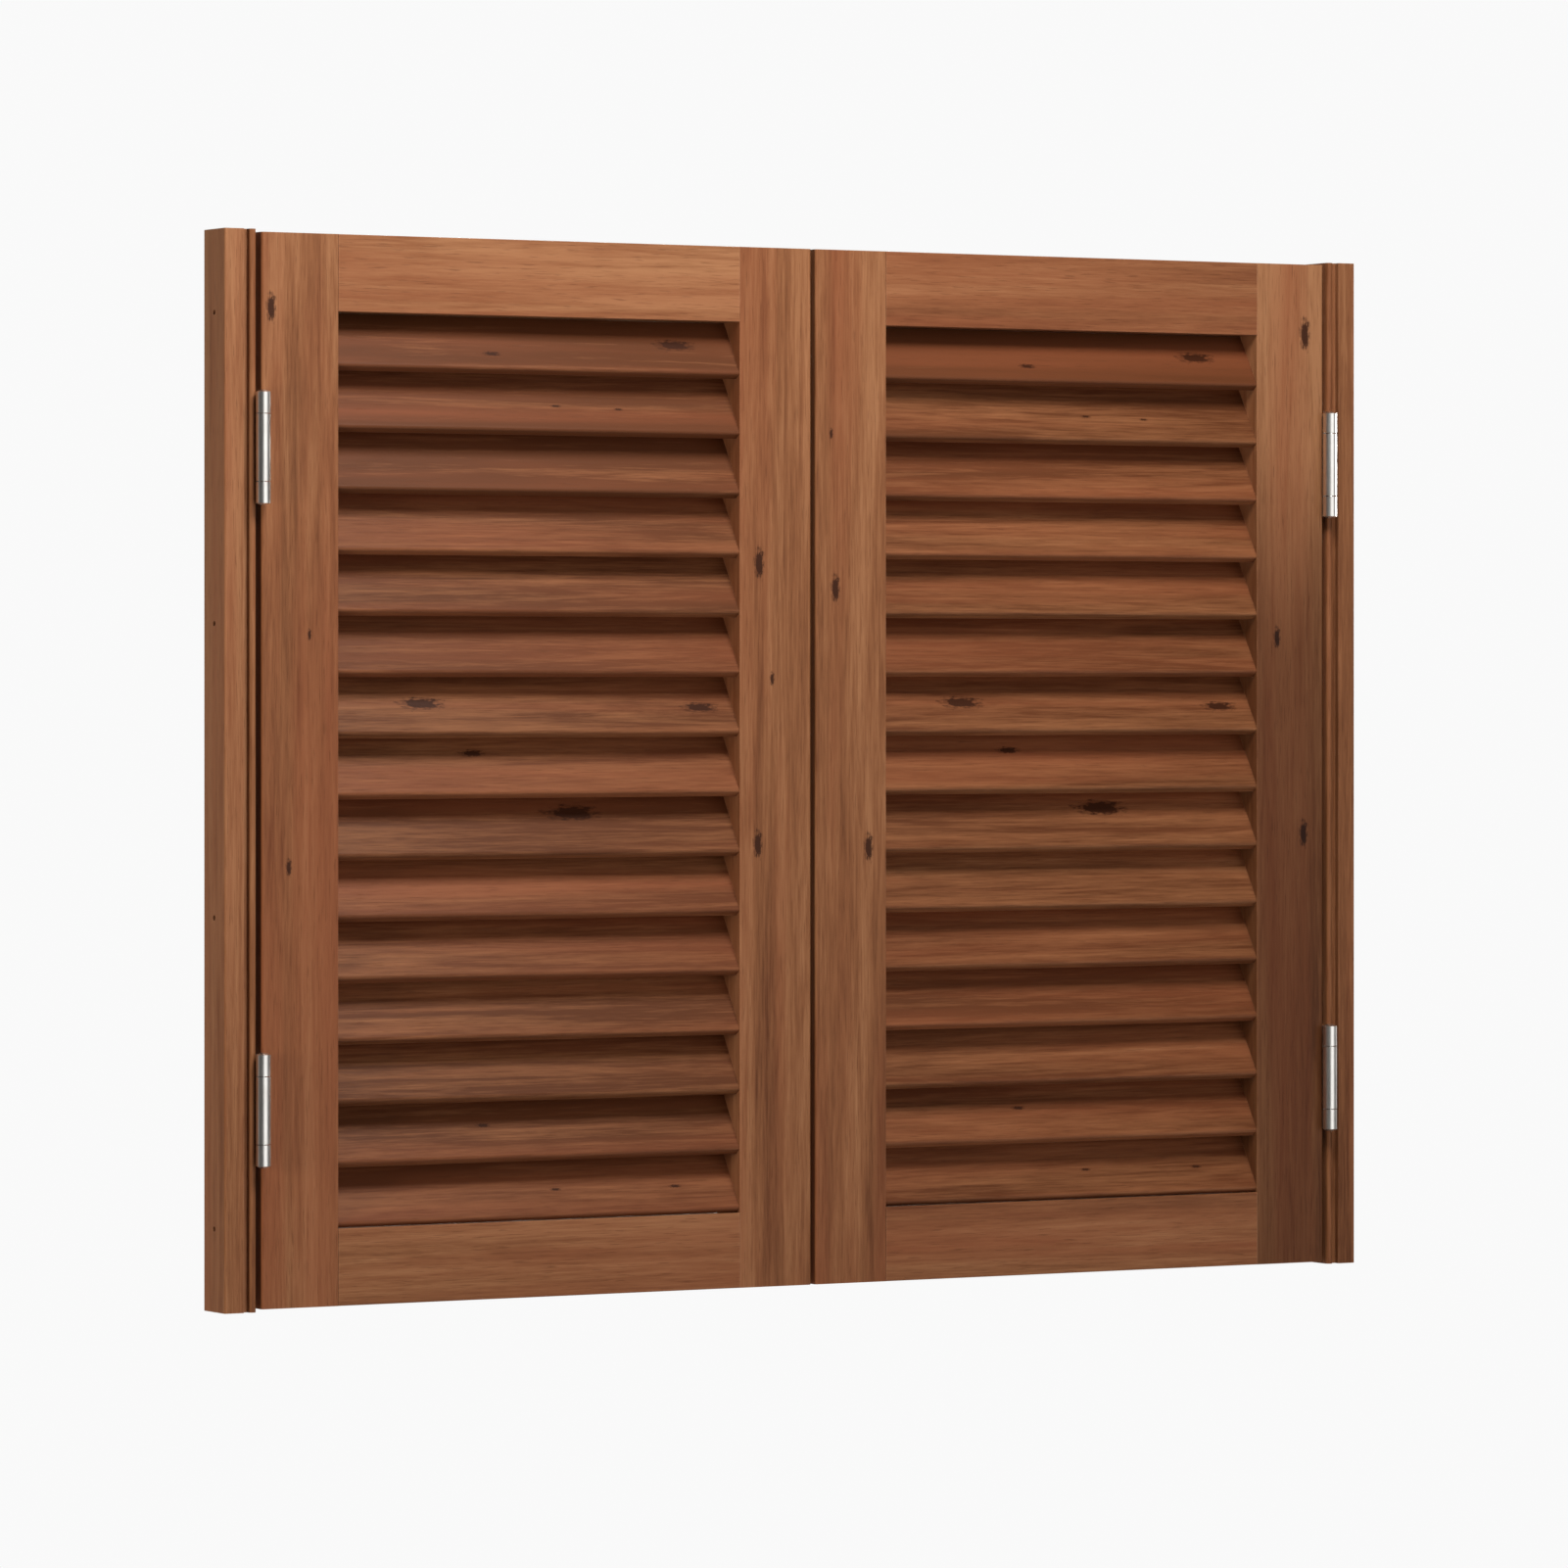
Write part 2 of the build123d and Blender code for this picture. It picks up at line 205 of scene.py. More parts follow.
class ScrewShape(PropertyGroup):
    """Sizes of the countersunk screws in the hinge flanges."""

    length: FloatProperty(
        name="Length", description="From the head's face to the tip", subtype="DISTANCE", default=0.025)
    head_radius: FloatProperty(
        name="Head Radius", description="Radius of the head", subtype="DISTANCE", default=0.0034)
    shank_radius: FloatProperty(
        name="Shank Radius", description="Radius of the shank and of the thread's crest",
        subtype="DISTANCE", default=0.00175)
    root_radius: FloatProperty(
        name="Root Radius", description="Radius at the foot of the thread", subtype="DISTANCE",
        default=0.00125)
    pitch: FloatProperty(
        name="Thread Pitch", description="Distance from turn to turn", subtype="DISTANCE",
        default=0.0016)
    recess_span: FloatProperty(
        name="Recess Span", description="Length of each slot of the cross", subtype="DISTANCE",
        default=0.0036)
    recess_width: FloatProperty(
        name="Recess Width", description="Width of each slot of the cross", subtype="DISTANCE",
        default=0.0008)
    recess_depth: FloatProperty(
        name="Recess Depth", description="Depth of the cross", subtype="DISTANCE", default=0.0012)
    around: IntProperty(
        name="Steps Round", description="Faces round the screw", min=8, max=64, default=20)


class StudioSetup(PropertyGroup):
    """Floor, lights and camera."""

    floor_drop: FloatProperty(
        name="Floor Drop", description="How far the floor lies under the doors, which hang in a doorway",
        subtype="DISTANCE", default=0.75)
    floor_radius: FloatProperty(
        name="Floor Radius", description="Radius of the round floor", subtype="DISTANCE", default=2.9)
    floor_colour: FloatVectorProperty(
        name="Floor Colour", description="Colour of the floor", subtype="COLOR", size=3, min=0, max=1,
        default=(0.52, 0.52, 0.51))
    ambient: FloatProperty(
        name="Ambient", description="Strength of the even light from all round", subtype="FACTOR",
        min=0, max=2, default=0.035)
    behind: FloatProperty(
        name="Behind", description="Strength of the even light from behind, as a share of the glow",
        subtype="FACTOR", min=0, max=1, default=0.22)
    key_power: FloatProperty(
        name="Key Power", description="Power of the soft main light", subtype="POWER", default=55)
    fill_power: FloatProperty(
        name="Low Fill Power", description="Power of the low light from the left", subtype="POWER",
        default=16)
    back_power: FloatProperty(
        name="Back Power", description="Power of the light behind the doors", subtype="POWER",
        default=90)
    side_power: FloatProperty(
        name="Side Power", description="Power of the light on the right jamb's side", subtype="POWER",
        default=45)
    glow: FloatProperty(
        name="Front Glow", description="Strength of the soft glow in front, which the hinges mirror",
        subtype="FACTOR", min=0, max=5, default=1.3)
    lens: FloatProperty(
        name="Lens", description="Focal length of the camera", subtype="DISTANCE_CAMERA",
        default=178.77)
    azimuth: FloatProperty(
        name="Azimuth", description="Which side of the doors the camera stands on", subtype="ANGLE",
        default=math.radians(-30))
    camera_place: FloatVectorProperty(
        name="Camera Place", description="Where the camera stands", subtype="TRANSLATION", size=3,
        default=(-3.6708, -6.3248, 0.5732))
    shift: FloatProperty(
        name="Camera Shift", description="How far the picture lies below the camera's axis",
        default=-0.0693)


def add_node(tree, kind, settings=None, **values):
    """A node with its settings, whose sockets take a value or a link by name."""
    made = tree.nodes.new(kind)
    for key, value in (settings or {}).items():
        setattr(made, key, value)
    for key, value in values.items():
        numbered = key[0] == "i" and key[1:].isdigit()
        socket = made.inputs[int(key[1:]) if numbered else key.replace("_", " ")]
        if isinstance(value, bpy.types.NodeSocket):
            tree.links.new(value, socket)
        else:
            socket.default_value = value
    return made


def maths(tree, operation, first, second=0.5, clamp=False):
    """One sum of two numbers or sockets."""
    return add_node(tree, "ShaderNodeMath", {"operation": operation, "use_clamp": clamp},
                    i0=first, i1=second).outputs[0]


def rescaled(tree, value, factor, shift):
    """A value times a factor, plus a shift."""
    return add_node(tree, "ShaderNodeMath", {"operation": "MULTIPLY_ADD"}, i0=value, i1=factor,
                    i2=shift).outputs[0]


def ramp(tree, value, stops):
    """A colour ramp over a value. Stops are pairs of place and colour or grey."""
    made = add_node(tree, "ShaderNodeValToRGB", i0=value)
    elements = made.color_ramp.elements
    while len(elements) < len(stops):
        elements.new(0.5)
    for element, (place, colour) in zip(elements, stops):
        element.position = place
        element.color = (*colour, 1) if hasattr(colour, "__len__") else (colour, colour, colour, 1)
    return made.outputs["Color"]


def noise(tree, vector, scale, detail=3.0, rough=0.5, bend=0.0):
    """Noise over a vector, as one number."""
    return add_node(tree, "ShaderNodeTexNoise", Vector=vector, Scale=scale, Detail=detail,
                    Roughness=rough, Distortion=bend).outputs["Fac"]


def mix(tree, share, first, second, blend="MIX"):
    """Two colours mixed by a share, each of them a value or a socket."""
    values = {"i0": share, "i6": first, "i7": second}
    values = {k: (*v, 1) if isinstance(v, (tuple, list)) and len(v) == 3 else v
              for k, v in values.items()}
    return add_node(tree, "ShaderNodeMix", {"data_type": "RGBA", "blend_type": blend}, **values).outputs[2]


def new_material(name):
    """An empty material with its shader and its object coordinates."""
    material = bpy.data.materials.new(name)
    material.use_nodes = True
    tree = material.node_tree
    tree.nodes.clear()
    shader = tree.nodes.new("ShaderNodeBsdfPrincipled")
    output = tree.nodes.new("ShaderNodeOutputMaterial")
    tree.links.new(shader.outputs[0], output.inputs["Surface"])
    coordinates = tree.nodes.new("ShaderNodeTexCoord").outputs["Object"]
    return material, tree, shader, coordinates


def placed(tree, vector, location=(0, 0, 0), scale=(1, 1, 1)):
    """Coordinates moved and stretched."""
    return add_node(tree, "ShaderNodeMapping", Vector=vector, Location=location,
                    Scale=scale).outputs[0]


def edge_mask(tree, width):
    """How near a point lies to an edge of its piece, from 0 to 1."""
    bevel = add_node(tree, "ShaderNodeBevel", {"samples": 4}, Radius=width).outputs[0]
    normal = tree.nodes.new("ShaderNodeNewGeometry").outputs["Normal"]
    facing = add_node(tree, "ShaderNodeVectorMath", {"operation": "DOT_PRODUCT"}, i0=bevel,
                      i1=normal).outputs["Value"]
    return maths(tree, "MULTIPLY", maths(tree, "SUBTRACT", 1.0, facing), EDGE_GAIN, clamp=True)


def knot_mask(tree, vector, centre, half_size):
    """A soft irregular spot round a point, from 0 to 1."""
    location = [-c / h for c, h in zip(centre, half_size)]
    near = placed(tree, vector, location=location, scale=[1 / h for h in half_size])
    wobble = add_node(tree, "ShaderNodeTexNoise", Vector=near, Scale=1.7, Detail=4.0,
                      Roughness=0.65).outputs["Color"]
    moved = add_node(tree, "ShaderNodeVectorMath", {"operation": "MULTIPLY_ADD"}, i0=wobble,
                     i1=(KNOT_WOBBLE,) * 3, i2=near).outputs[0]
    moved = add_node(tree, "ShaderNodeVectorMath", {"operation": "SUBTRACT"}, i0=moved,
                     i1=(KNOT_WOBBLE / 2,) * 3).outputs[0]
    distance = add_node(tree, "ShaderNodeVectorMath", {"operation": "LENGTH"},
                        i0=moved).outputs["Value"]
    return maths(tree, "SUBTRACT", KNOT_REACH, distance, clamp=True)


def wood(name, along, offset, tone=0.0, knots=(), stain=()):
    """Stained hardwood whose grain runs along x or z, with its own cut of the log and its knots.

    Stain is pairs of height and strength where the colour is darkened: a painted shade, not a real stain."""
    finish = bpy.context.scene.door_wood
    material, tree, shader, coordinates = new_material(name)
    short = 1 / finish.stretch
    grain_scale = (short, 1, 1) if along == "x" else (1, 1, short)
    log = placed(tree, coordinates, location=offset, scale=grain_scale)
    spots = [knot_mask(tree, coordinates, centre, half) for centre, half in knots]
    knotty = spots[0] if spots else None
    for spot in spots[1:]:
        knotty = maths(tree, "MAXIMUM", knotty, spot)

    bands = noise(tree, log, BAND_SCALE, 4, 0.55, 0.7)
    figure = noise(tree, log, FIGURE_SCALE, 5, 0.6, 1.6)
    fibre = noise(tree, log, FIBRE_SCALE, 4, 0.65)
    share = maths(tree, "MULTIPLY", bands, BAND_WEIGHT)
    share = maths(tree, "ADD", share, maths(tree, "MULTIPLY", figure, FIGURE_WEIGHT))
    share = maths(tree, "ADD", share, maths(tree, "MULTIPLY", fibre, FIBRE_WEIGHT))
    share = maths(tree, "ADD", share, tone)
    colour = ramp(tree, share, ((0.36, finish.deep), (0.49, finish.middle), (0.62, finish.light)))

    patches = noise(tree, log, PATCH_SCALE, 3, 0.55, 0.4)
    redder = ramp(tree, patches, ((0.42, 0.0), (0.70, 0.55)))
    colour = mix(tree, redder, colour, tuple(finish.red))
    pores = ramp(tree, noise(tree, log, PORE_SCALE, 2, 0.5), ((0.60, 0.0), (0.70, 1.0)))
    colour = mix(tree, maths(tree, "MULTIPLY", pores, 0.45), colour, tuple(finish.deep))
    if knotty is not None:
        ring = ramp(tree, knotty, ((0.0, 0.0), (0.16, 0.40), (0.30, 0.35), (0.50, 0.96)))
        colour = mix(tree, ring, colour, tuple(finish.knot))
    # Painted shade: the wood is darkened up to the given heights, with a ragged edge.
    if stain:
        height = add_node(tree, "ShaderNodeSeparateXYZ", Vector=coordinates).outputs["Z"]
        uneven = rescaled(tree, noise(tree, log, 12, 3, 0.5, 0.8), 0.16, -0.08)
        painted_shade_share = ramp(tree, maths(tree, "ADD", height, uneven), stain)
        colour = mix(tree, painted_shade_share, colour, mix(tree, 1.0, colour, PAINTED_SHADE_TINT, "MULTIPLY"))
    # Painted highlight: the edges are lightened, more in some places than in others.
    lighter_edges = maths(tree, "MULTIPLY", edge_mask(tree, finish.edge_width),
                   ramp(tree, noise(tree, coordinates, 60, 3), ((0.35, 0.15), (0.65, 0.6))))
    colour = mix(tree, lighter_edges, colour, tuple(finish.painted_edge_highlight))
    tree.links.new(colour, shader.inputs["Base Color"])

    rough = rescaled(tree, fibre, WOOD_ROUGH_SPREAD, finish.roughness - WOOD_ROUGH_SPREAD / 2)
    tree.links.new(rough, shader.inputs["Roughness"])
    height = maths(tree, "SUBTRACT", maths(tree, "MULTIPLY", fibre, 0.5), pores)
    bump = add_node(tree, "ShaderNodeBump", Height=height, Distance=finish.pore_depth, Strength=0.35)
    tree.links.new(bump.outputs[0], shader.inputs["Normal"])
    shader.inputs["Specular IOR Level"].default_value = WOOD_SPECULAR
    shader.inputs["Coat Weight"].default_value = finish.coat
    shader.inputs["Coat Roughness"].default_value = 0.32
    return material


def brushed_metal(name, bright, dull, roughness, brush_scale=(1, 1, 1), grain=900.0):
    """Metal with fine brushing, dulled patches and brighter edges."""
    material, tree, shader, coordinates = new_material(name)
    brushed = placed(tree, coordinates, scale=brush_scale)
    scratches = noise(tree, brushed, grain, 3, 0.6)
    patches = noise(tree, coordinates, 45, 4, 0.6, 0.4)
    share = ramp(tree, patches, ((0.38, 0.0), (0.75, 0.5)))
    share = maths(tree, "ADD", share, maths(tree, "MULTIPLY", scratches, 0.22), clamp=True)
    colour = mix(tree, share, tuple(bright), tuple(dull))
    lighter_edges = maths(tree, "MULTIPLY", edge_mask(tree, 0.0006), 0.5)
    colour = mix(tree, lighter_edges, colour, tuple(min(1.0, c * 1.12) for c in bright))
    tree.links.new(colour, shader.inputs["Base Color"])
    rough = rescaled(tree, scratches, METAL_ROUGH_SPREAD, roughness - METAL_ROUGH_SHIFT)
    tree.links.new(rough, shader.inputs["Roughness"])
    bump = add_node(tree, "ShaderNodeBump", Height=scratches, Distance=0.00006, Strength=0.3)
    tree.links.new(bump.outputs[0], shader.inputs["Normal"])
    shader.inputs["Metallic"].default_value = 1.0
    return material


def give(obj, material):
    """The one material of a piece."""
    obj.data.materials.clear()
    obj.data.materials.append(material)


def log_offset(number):
    """A different cut of the log for each piece."""
    return (1.37 * number % 5.0, 0.83 * number % 3.0, 2.11 * number % 7.0)


def slat_knots(side, number):
    """The knots of one slat, as centres and half sizes."""
    low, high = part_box(f"{side}_leaf_slat_{number:02d}")
    middle = (low + high) / 2
    found = []
    for slat, across, rise, half in SLAT_KNOTS:
        if slat == number:
            x = low.x + across * (high.x - low.x)
            size = (half * KNOT_LENGTH, KNOT_DEPTH, half * KNOT_HEIGHT)
            found.append(((x, middle.y, middle.z + rise), size))
    return found


def stile_flecks(node):
    """The flecks of one stile, as centres and half sizes."""
    low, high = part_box(node)
    return [((low.x + across * (high.x - low.x), low.y, z), (half * FLECK_WIDTH, half, half))
            for across, z, half in STILE_FLECKS.get(node, ())]


class DOORS_OT_jambs(Operator):
    """Give both side jambs their wood, with the grain running up them."""

    bl_idname = "swing_doors.jambs"
    bl_label = "Finish Jambs"

    def execute(self, context):
        for number, side in enumerate(LEAVES):
            node = f"{side}_jamb"
            give(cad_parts[node],
                 wood(f"{node}_wood", "z", log_offset(51 + number), tone=JAMB_TONES[side]))
        return {"FINISHED"}


class DOORS_OT_stiles(Operator):
    """Give the four stiles their wood, with the grain running up them."""

    bl_idname = "swing_doors.stiles"
    bl_label = "Finish Stiles"

    def execute(self, context):
        tones = {"left_leaf_hinge_stile": 0.0, "left_leaf_meeting_stile": 0.01,
                 "right_leaf_meeting_stile": -0.01, "right_leaf_hinge_stile": 0.02}
        # Painted shade on the right hinge stile: dark up to 0.62 m, fading out by 0.95 m.
        painted_shade_heights = {"right_leaf_hinge_stile": ((0.05, 0.75), (0.62, 0.75), (0.80, 0.10), (0.95, 0.0))}
        for number, (node, tone) in enumerate(tones.items()):
            give(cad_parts[node],
                 wood(f"{node}_wood", "z", log_offset(3 + number), tone, stile_flecks(node),
                      painted_shade_heights.get(node, ())))
        return {"FINISHED"}


class DOORS_OT_rails(Operator):
    """Give the four rails their wood, with the grain running across them."""

    bl_idname = "swing_doors.rails"
    bl_label = "Finish Rails"

    def execute(self, context):
        tones = {"left_leaf_top_rail": 0.045, "right_leaf_top_rail": 0.0,
                 "left_leaf_bottom_rail": -0.01, "right_leaf_bottom_rail": -0.035}
        for number, (node, tone) in enumerate(tones.items()):
            give(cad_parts[node], wood(f"{node}_wood", "x", log_offset(11 + number), tone))
        return {"FINISHED"}


class DOORS_OT_slats(Operator):
    """Give each slat its own cut of wood, with the grain running across the leaf."""

    bl_idname = "swing_doors.slats"
    bl_label = "Finish Slats"

    def execute(self, context):
        for side in LEAVES:
            for number in range(1, SLATS_PER_LEAF + 1):
                node = f"{side}_leaf_slat_{number:02d}"
                # Painted shade: each slat starts darker than the frame.
                tone = SLAT_TONES_AND_PAINTED_SHADE[side] + SLAT_TONE_SPREAD * math.sin(2.3 * number)
                tone -= SLAT_TONE_FALL * max(0, number - SLAT_FALL_FROM)
                if number in DARKER_SLATS:
                    tone -= DARKER_BY
                give(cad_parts[node],
                     wood(f"{node}_wood", "x", log_offset(20 + number), tone, slat_knots(side, number)))
        return {"FINISHED"}


class DOORS_OT_hinges(Operator):
    """Give the hinge flanges, links and pins their satin metal and the springs their dark steel."""

    bl_idname = "swing_doors.hinges"
    bl_label = "Finish Hinges"

    def execute(self, context):
        finish = context.scene.door_metal
        satin = brushed_metal("satin_hinge_metal", finish.nickel, finish.nickel_dull, finish.roughness,
                              (1, 1, 0.03))
        pins = brushed_metal("hinge_pin_metal", finish.nickel, finish.nickel_dull,
                             finish.roughness - 0.06, (1, 1, 0.3))
        oiled = brushed_metal("oiled_spring_steel", finish.spring,
                              tuple(c * 0.5 for c in finish.spring), 0.38, (1, 1, 1), 600)
        for name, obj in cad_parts.items():
            if name.endswith(("_flange", "_link")):
                give(obj, satin)
            elif name.endswith("_pins"):
                give(obj, pins)
            elif name.endswith("_springs"):
                give(obj, oiled)
        return {"FINISHED"}


def cross_outline(span, width):
    """The corners of a cross recess in order, in the plane of the head's face."""
    long, short = span / 2, width / 2
    quarter = [(long, -short), (long, short), (short, short)]
    found = []
    for turn in range(4):
        c, s = round(math.cos(turn * math.pi / 2)), round(math.sin(turn * math.pi / 2))
        found += [(c * y - s * z, s * y + c * z) for y, z in quarter]
    return found


def threaded_screw(shape):
    """A countersunk wood screw along +x with its head's face at the origin, as a mesh."""
    bm = bmesh.new()
    axis = Vector((1, 0, 0))
    cone = shape.head_radius - shape.shank_radius
    smooth_end, thread_end = shape.length * SMOOTH_SHARE, shape.length * THREAD_SHARE
    rim = [(0.0, shape.head_radius), (cone, shape.shank_radius), (smooth_end, shape.shank_radius),
           (smooth_end + THREAD_RAMP, shape.root_radius), (thread_end, shape.root_radius),
           (shape.length, 0.0)]
    verts = [bm.verts.new((x, 0, r)) for x, r in rim]
    edges = [bm.edges.new(pair) for pair in zip(verts, verts[1:])]
    bmesh.ops.spin(bm, geom=verts + edges, cent=(0, 0, 0), axis=axis, angle=2 * math.pi,
                   steps=shape.around, use_merge=True)
    bmesh.ops.remove_doubles(bm, verts=bm.verts, dist=1e-6)

    slots = [bm.verts.new((0, y, z)) for y, z in cross_outline(shape.recess_span, shape.recess_width)]
    lip = [bm.edges.new(pair) for pair in zip(slots, slots[1:] + slots[:1])]
    circle = [e for e in bm.edges if all(abs(v.co.x) < 1e-7 for v in e.verts) and e not in lip]
    bmesh.ops.triangle_fill(bm, use_beauty=True, edges=lip + circle, normal=-axis)
    walls = bmesh.ops.extrude_edge_only(bm, edges=lip)["geom"]
    floor_verts = [g for g in walls if isinstance(g, bmesh.types.BMVert)]
    floor_edges = [g for g in walls if isinstance(g, bmesh.types.BMEdge)
                   and all(v in floor_verts for v in g.verts)]
    bmesh.ops.translate(bm, verts=floor_verts, vec=axis * shape.recess_depth)
    bmesh.ops.scale(bm, verts=floor_verts, vec=(1, RECESS_TAPER, RECESS_TAPER))
    bmesh.ops.triangle_fill(bm, use_beauty=True, edges=floor_edges, normal=-axis)
    bmesh.ops.recalc_face_normals(bm, faces=bm.faces)

    half = shape.pitch * RIDGE_SHARE
    sunk = shape.root_radius * 0.94
    start = smooth_end + THREAD_START
    ridge = [bm.verts.new((start + dx, 0, r)) for dx, r in
             ((-half, sunk), (0, shape.shank_radius), (half, sunk))]
    first = bm.faces.new(ridge)
    turns = int((thread_end - start - half) / shape.pitch)
    made = bmesh.ops.spin(bm, geom=[first, *first.edges, *first.verts], cent=(0, 0, 0), axis=axis,
                          dvec=axis * (shape.pitch / STEPS_PER_TURN), angle=turns * 2 * math.pi,
                          steps=turns * STEPS_PER_TURN)
    thread_faces = {f for v in ridge for f in v.link_faces}
    grown = set(thread_faces)
    while grown:
        grown = {n for f in grown for e in f.edges for n in e.link_faces} - thread_faces
        thread_faces |= grown
    bmesh.ops.recalc_face_normals(bm, faces=list(thread_faces))
    if not made["geom_last"]:
        raise RuntimeError("the screw's thread was not made")
    mesh = bpy.data.meshes.new("hinge_screw")
    bm.to_mesh(mesh)
    bm.free()
    return mesh


def screw_places(side, on_jamb):
    """Where the screws of one flange kind stand on one side: head places and the way they point."""
    towards_jamb = -1 if side == "left" else 1
    way = towards_jamb if on_jamb else -towards_jamb
    found = []
    for level in LEVELS:
        low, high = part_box(f"{side}_{level}_hinge_jamb_flange")
        gap_low, gap_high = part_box(f"{side}_{level}_hinge_link")
        x = (gap_low.x + gap_high.x) / 2 + way * SCREW_FACE
        for i in range(SCREWS_PER_FLANGE):
            y = -way * (SCREW_MIDDLE + (SCREW_STAGGER if i % 2 else -SCREW_STAGGER))
            share = i / (SCREWS_PER_FLANGE - 1)
            z = low.z + SCREW_INSET + share * (high.z - low.z - 2 * SCREW_INSET)
            found.append((Vector((x, y, z)), way))
    return found


class DOORS_OT_screws(Operator):
    """Model the countersunk hinge screws with their cross recess and thread."""

    bl_idname = "swing_doors.screws"
    bl_label = "Model Hinge Screws"

    def execute(self, context):
        finish = context.scene.door_metal
        zinc = brushed_metal("plated_screw_metal", finish.zinc, tuple(c * 0.6 for c in finish.zinc),
                             0.36, (1, 1, 1), 1500)
        screw = threaded_screw(context.scene.door_screw)
        groups = {
            "jamb_hinge_screws": ("frame", [p for s in LEAVES for p in screw_places(s, True)]),
            "left_leaf_hinge_screws": ("left_leaf", screw_places("left", False)),
            "right_leaf_hinge_screws": ("right_leaf", screw_places("right", False)),
        }
        for node, (body, places) in groups.items():
            bm = bmesh.new()
            for count, (place, way) in enumerate(places):
                before = set(bm.verts)
                bm.from_mesh(screw)
                fresh = [v for v in bm.verts if v not in before]
                turn = Matrix.Rotation(0 if way > 0 else math.pi, 3, "Z") @ Matrix.Rotation(
                    count * SCREW_TURN, 3, "X")
                bmesh.ops.rotate(bm, verts=fresh, cent=(0, 0, 0), matrix=turn)
                bmesh.ops.translate(bm, verts=fresh, vec=place)
            mesh = bpy.data.meshes.new(f"{node}_threaded")
            bm.to_mesh(mesh)
            bm.free()
            obj = bpy.data.objects.new(f"{node}_threaded", mesh)
            context.scene.collection.objects.link(obj)
            give(obj, zinc)
            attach(obj, body)
            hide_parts(node)
        bpy.data.meshes.remove(screw)
        return {"FINISHED"}


def area_light(name, place, target, size, power, colour=(1, 1, 1), mirrored=True):
    """A soft light, as wide and high as its size says, that faces a point and may show in the metal."""
    data = bpy.data.lights.new(name, "AREA")
    data.shape, data.energy, data.color = "RECTANGLE", power, colour
    data.size, data.size_y = size
    obj = bpy.data.objects.new(name, data)
    bpy.context.scene.collection.objects.link(obj)
    obj.location = place
    obj.visible_glossy = mirrored
    obj.rotation_euler = (Vector(target) - Vector(place)).to_track_quat("-Z", "Y").to_euler()


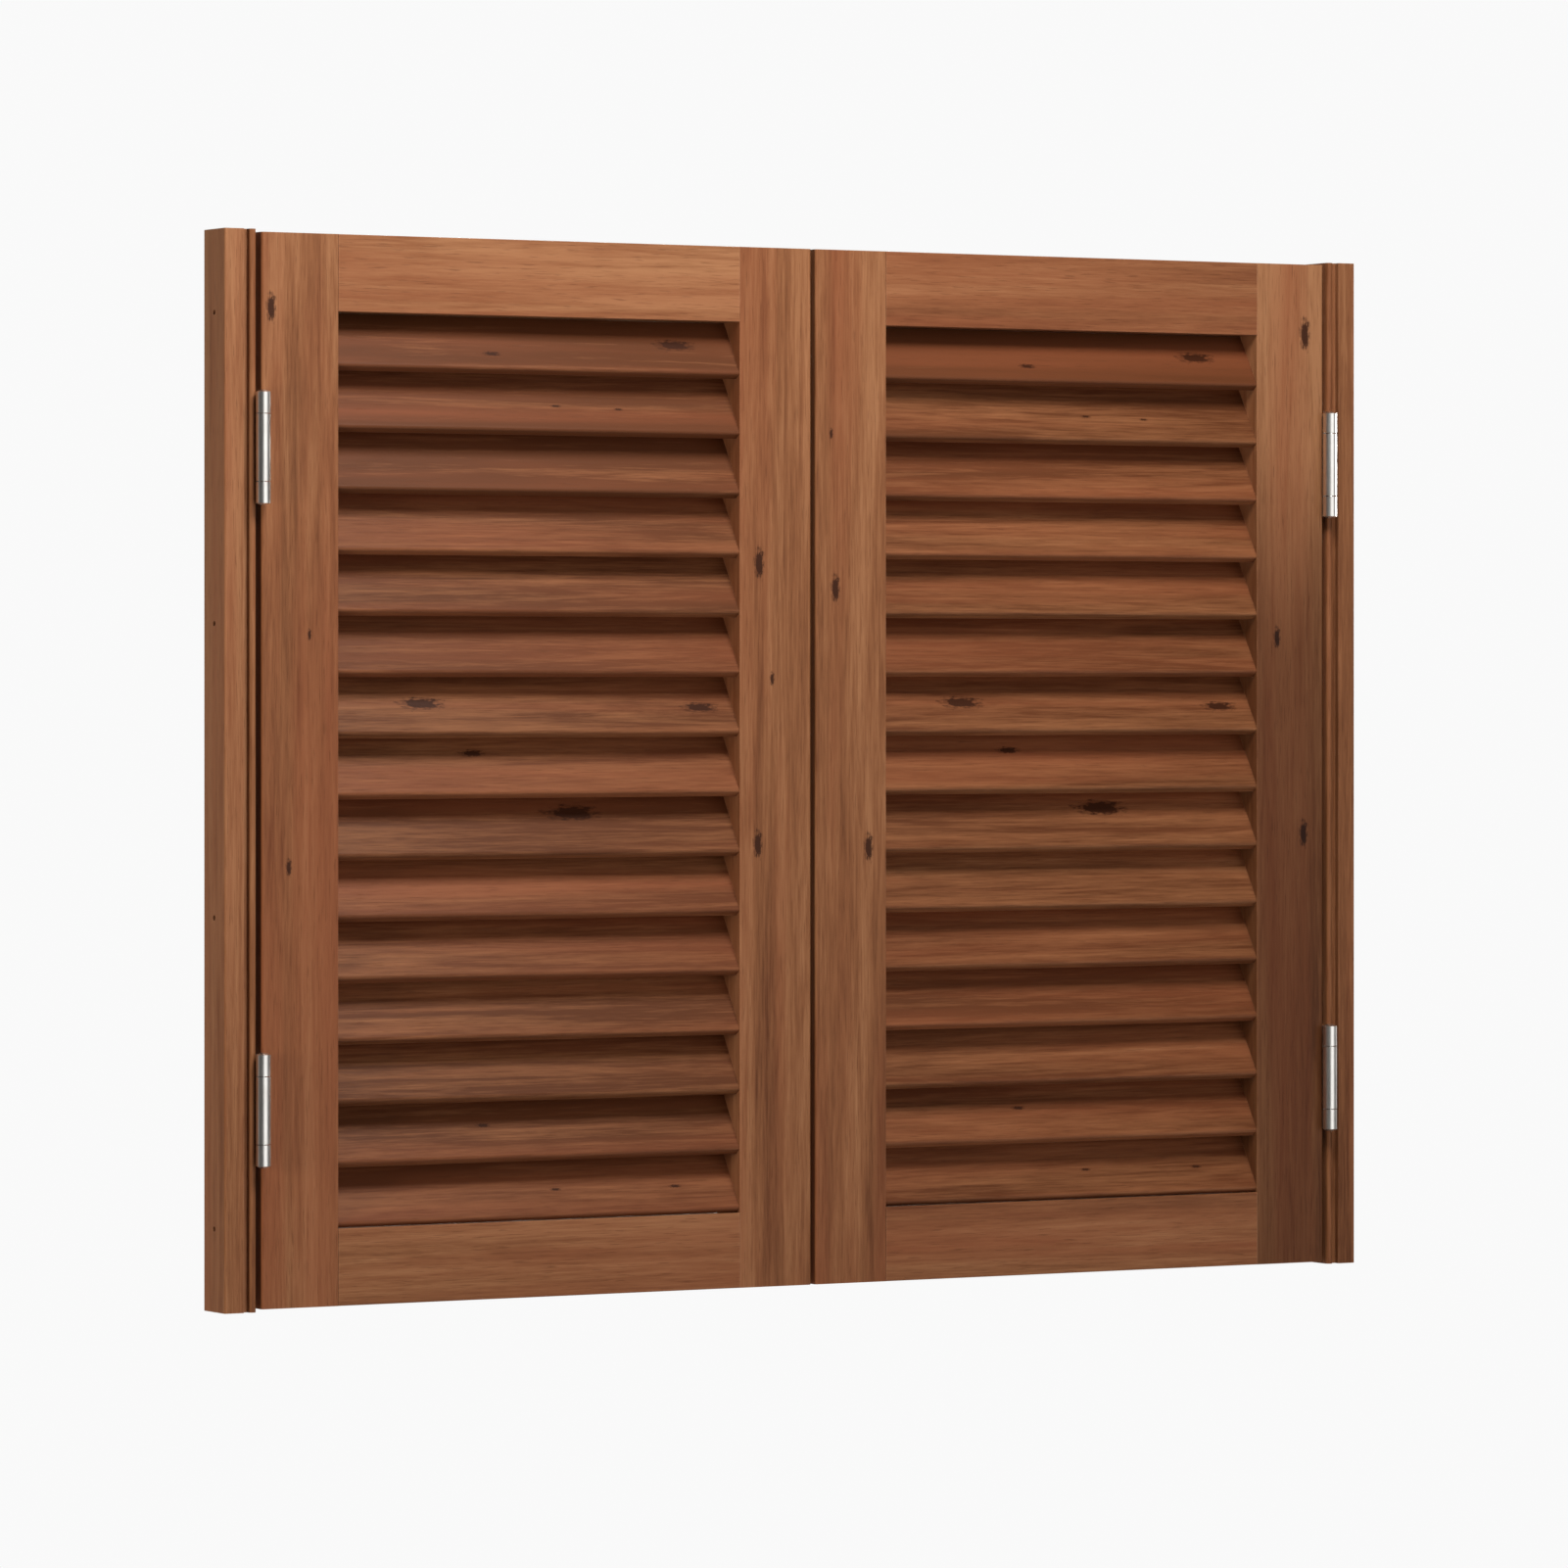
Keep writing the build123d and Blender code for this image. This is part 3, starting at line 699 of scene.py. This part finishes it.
class DOORS_OT_studio(Operator):
    """Lay the pale floor, place the soft lights and set up the camera."""

    bl_idname = "swing_doors.studio"
    bl_label = "Set Up Studio"

    def execute(self, context):
        studio = context.scene.door_studio
        bm = bmesh.new()
        bmesh.ops.create_circle(bm, cap_ends=True, radius=studio.floor_radius, segments=96)
        bmesh.ops.translate(bm, verts=bm.verts, vec=(0, 0, -studio.floor_drop))
        mesh = bpy.data.meshes.new("studio_floor")
        bm.to_mesh(mesh)
        bm.free()
        floor = bpy.data.objects.new("studio_floor", mesh)
        context.scene.collection.objects.link(floor)
        material, tree, shader, coordinates = new_material("pale_floor")
        speckle = noise(tree, coordinates, 30, 3)
        tree.links.new(mix(tree, maths(tree, "MULTIPLY", speckle, 0.06), tuple(studio.floor_colour),
                           SPECKLE_COLOUR), shader.inputs["Base Color"])
        shader.inputs["Roughness"].default_value = 0.8
        give(floor, material)

        world = context.scene.world or bpy.data.worlds.new("studio_world")
        context.scene.world = world
        world.use_nodes = True
        tree = world.node_tree
        tree.nodes.clear()
        seen = add_node(tree, "ShaderNodeBackground", Color=(1, 1, 1, 1),
                        Strength=BACKDROP_STRENGTH)
        direction = tree.nodes.new("ShaderNodeTexCoord").outputs["Generated"]
        towards = add_node(tree, "ShaderNodeVectorMath", {"operation": "DOT_PRODUCT"}, i0=direction,
                           i1=GLOW_DIRECTION).outputs["Value"]
        level = ramp(tree, rescaled(tree, towards, 0.5, 0.5), (
            (0.25, studio.behind), (0.45, studio.ambient), (0.90, studio.ambient), (0.975, 1.0)))
        around = add_node(tree, "ShaderNodeBackground", Color=GLOW_COLOUR,
                          Strength=maths(tree, "MULTIPLY", level, studio.glow))
        ray = tree.nodes.new("ShaderNodeLightPath").outputs["Is Camera Ray"]
        both = add_node(tree, "ShaderNodeMixShader", i0=ray, i1=around.outputs[0], i2=seen.outputs[0])
        output = tree.nodes.new("ShaderNodeOutputWorld")
        tree.links.new(both.outputs[0], output.inputs["Surface"])

        area_light(*KEY_LIGHT, studio.key_power, KEY_COLOUR)
        area_light(*LOW_LIGHT, studio.fill_power, LOW_COLOUR, mirrored=False)
        area_light(*BACK_LIGHT, studio.back_power, WARM_WHITE)
        area_light(*RIGHT_LIGHT, studio.side_power, WARM_WHITE)

        data = bpy.data.cameras.new("photo_camera")
        data.lens, data.sensor_width, data.shift_y = studio.lens, 36.0, studio.shift
        data.clip_end = 60.0
        camera = bpy.data.objects.new("photo_camera", data)
        context.scene.collection.objects.link(camera)
        camera.location = studio.camera_place
        camera.rotation_euler = (math.pi / 2, 0, studio.azimuth)
        context.scene.camera = camera
        context.scene.view_settings.view_transform = "Standard"
        return {"FINISHED"}


class DOORS_PT_panel(Panel):
    """The steps that dress the doors, in order."""

    bl_idname = "DOORS_PT_panel"
    bl_label = "Swing Doors"
    bl_space_type = "VIEW_3D"
    bl_region_type = "UI"
    bl_category = "Swing Doors"

    def draw(self, context):
        column = self.layout.column()
        for step in STEPS:
            column.operator(step.bl_idname)
        for group in SETTINGS:
            settings = getattr(context.scene, group)
            box = self.layout.box()
            for name in settings.__annotations__:
                box.prop(settings, name)


STEPS = (DOORS_OT_jambs, DOORS_OT_stiles, DOORS_OT_rails, DOORS_OT_slats, DOORS_OT_hinges,
         DOORS_OT_screws, DOORS_OT_studio)
SETTINGS = {"door_wood": WoodFinish, "door_metal": MetalFinish, "door_screw": ScrewShape,
            "door_studio": StudioSetup}


def register():
    for group in SETTINGS.values():
        bpy.utils.register_class(group)
    for step in STEPS:
        bpy.utils.register_class(step)
    bpy.utils.register_class(DOORS_PT_panel)
    for name, group in SETTINGS.items():
        setattr(bpy.types.Scene, name, PointerProperty(type=group))


def unregister():
    for name in SETTINGS:
        delattr(bpy.types.Scene, name)
    bpy.utils.unregister_class(DOORS_PT_panel)
    for step in reversed(STEPS):
        bpy.utils.unregister_class(step)
    for group in reversed(SETTINGS.values()):
        bpy.utils.unregister_class(group)


def main():
    """Dress the doors."""
    register()
    bpy.ops.swing_doors.jambs()
    bpy.ops.swing_doors.stiles()
    bpy.ops.swing_doors.rails()
    bpy.ops.swing_doors.slats()
    bpy.ops.swing_doors.hinges()
    bpy.ops.swing_doors.screws()
    bpy.ops.swing_doors.studio()


if __name__ == "__main__":
    main()
